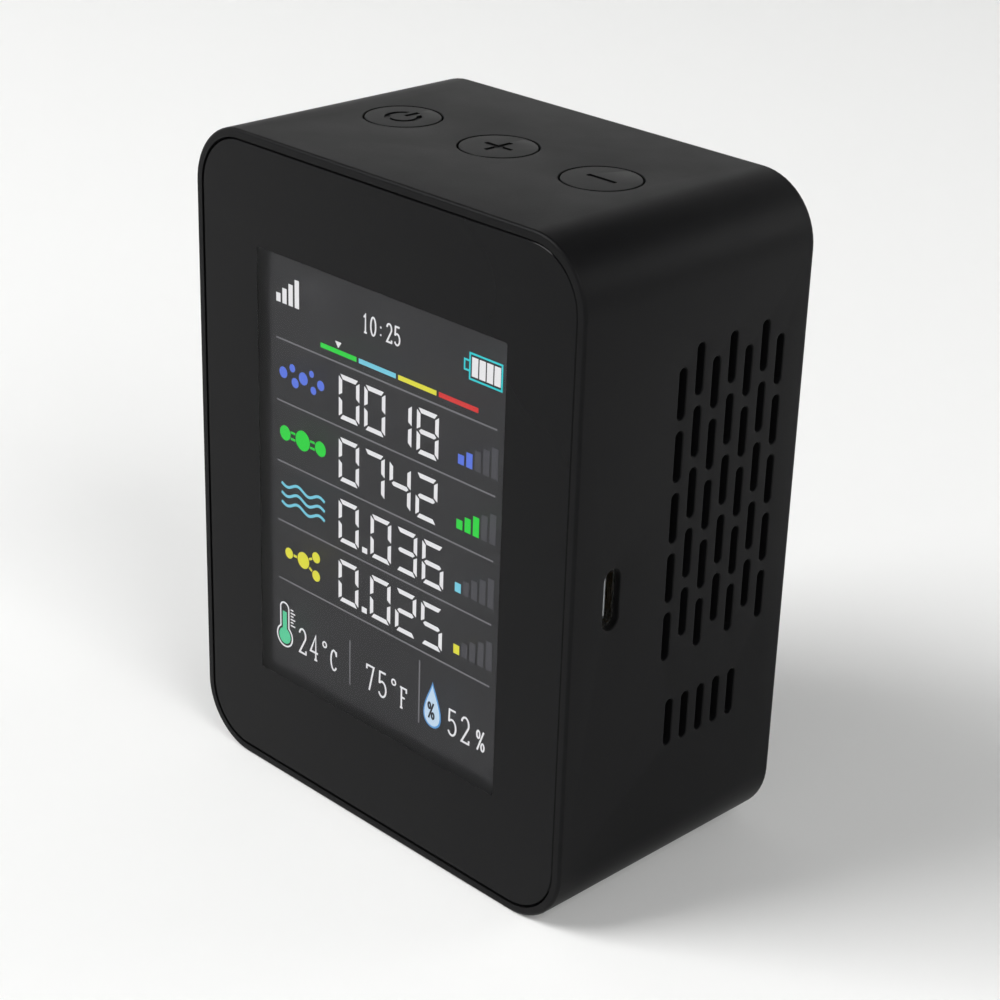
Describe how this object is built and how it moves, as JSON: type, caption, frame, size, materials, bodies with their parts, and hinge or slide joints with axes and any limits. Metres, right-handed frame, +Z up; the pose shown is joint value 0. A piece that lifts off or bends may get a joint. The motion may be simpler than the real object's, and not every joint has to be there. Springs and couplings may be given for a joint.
{
  "type": "carbon dioxide monitor",
  "caption": "Rounded desk air monitor: black case, flat glossy front with colour display, side vents, charging socket and flush top buttons.",
  "frame": {"origin": "middle of the bottom face", "axes": "+Z up, display faces -Y, +X towards the side with the vents and the charging socket"},
  "size_m": [0.077, 0.045, 0.1],
  "materials": {
    "case_plastic": "fine moulded texture, black ABS",
    "button_plastic": "fine moulded texture, black ABS",
    "screw_steel": "black zinc",
    "lens_acrylic": "polished, border printed black behind",
    "adhesive_tape": "matt",
    "black_foam": "matt foam",
    "display_glass": "smooth",
    "light_guide_acrylic": "clear",
    "tray_steel": "plain",
    "flex_film": "amber film",
    "connector_nylon": "natural nylon",
    "circuit_board": "green solder mask",
    "socket_steel": "nickel plated",
    "socket_insulator": "black nylon",
    "chip_resin": "moulded epoxy",
    "capacitor_can": "satin",
    "battery_foil": "satin foil",
    "lead_insulation": "smooth",
    "dust_sensor_plastic": "moulded",
    "pin_brass": "plain",
    "plated_brass": "gold flash",
    "filter_membrane": "white membrane",
    "sensor_can": "satin",
    "switch_plastic": "moulded",
    "plunger_plastic": "moulded",
    "fan_plastic": "moulded",
    "shaft_steel": "ground"
  },
  "bodies": {
    "case": {"housing": "case_plastic", "rear_cover": "case_plastic", "cover_screws": "screw_steel", "front_lens": "lens_acrylic", "lens_tape": "adhesive_tape", "lcd_gasket": "black_foam", "lcd_glass": "display_glass", "backlight_tray": "tray_steel", "light_guide": "light_guide_acrylic", "lcd_flex": "flex_film", "lcd_connector": "connector_nylon", "lcd_foam_pads": "black_foam", "main_board": "circuit_board", "board_screws": "screw_steel", "usb_shell": "socket_steel", "usb_tongue": "socket_insulator", "microcontroller": "chip_resin", "radio_board": "circuit_board", "radio_shield": "socket_steel", "crystal": "socket_steel", "capacitors": "capacitor_can", "charger_chip": "chip_resin", "power_inductor": "chip_resin", "battery_pouch": "battery_foil", "battery_tape": "adhesive_tape", "battery_leads": "lead_insulation", "battery_plug": "connector_nylon", "battery_socket": "connector_nylon", "dust_sensor_case": "dust_sensor_plastic", "dust_sensor_lid": "dust_sensor_plastic", "dust_sensor_pad": "black_foam", "dust_sensor_pins": "pin_brass", "fan_bearing": "pin_brass", "co2_sensor_board": "circuit_board", "co2_sensor_chamber": "plated_brass", "co2_sensor_filters": "filter_membrane", "co2_sensor_pins": "pin_brass", "formaldehyde_sensor": "sensor_can", "voc_sensor": "sensor_can", "climate_sensor": "chip_resin", "buzzer": "chip_resin", "button_board": "circuit_board", "button_board_screws": "screw_steel", "button_ribbon": "flex_film", "button_connector": "connector_nylon", "power_switch": "switch_plastic", "plus_switch": "switch_plastic", "minus_switch": "switch_plastic"},
    "power_key": {"power_button": "button_plastic", "power_plunger": "plunger_plastic"},
    "plus_key": {"plus_button": "button_plastic", "plus_plunger": "plunger_plastic"},
    "minus_key": {"minus_button": "button_plastic", "minus_plunger": "plunger_plastic"},
    "fan": {"fan_rotor": "fan_plastic", "fan_shaft": "shaft_steel"}
  },
  "joints": [
    {"name": "power_press", "type": "slide", "parent": "case", "child": "power_key", "axis": [0, 0, -1], "range_m": [0, 0.00035], "stiffness_N_per_m": 1500, "springref_m": -0.0003},
    {"name": "plus_press", "type": "slide", "parent": "case", "child": "plus_key", "axis": [0, 0, -1], "range_m": [0, 0.00035], "stiffness_N_per_m": 1500, "springref_m": -0.0003},
    {"name": "minus_press", "type": "slide", "parent": "case", "child": "minus_key", "axis": [0, 0, -1], "range_m": [0, 0.00035], "stiffness_N_per_m": 1500, "springref_m": -0.0003},
    {"name": "fan_spin", "type": "hinge", "parent": "case", "child": "fan", "pos_m": [0.0105, -0.00872, 0.058], "axis": [0, 1, 0], "continuous": true}
  ]
}
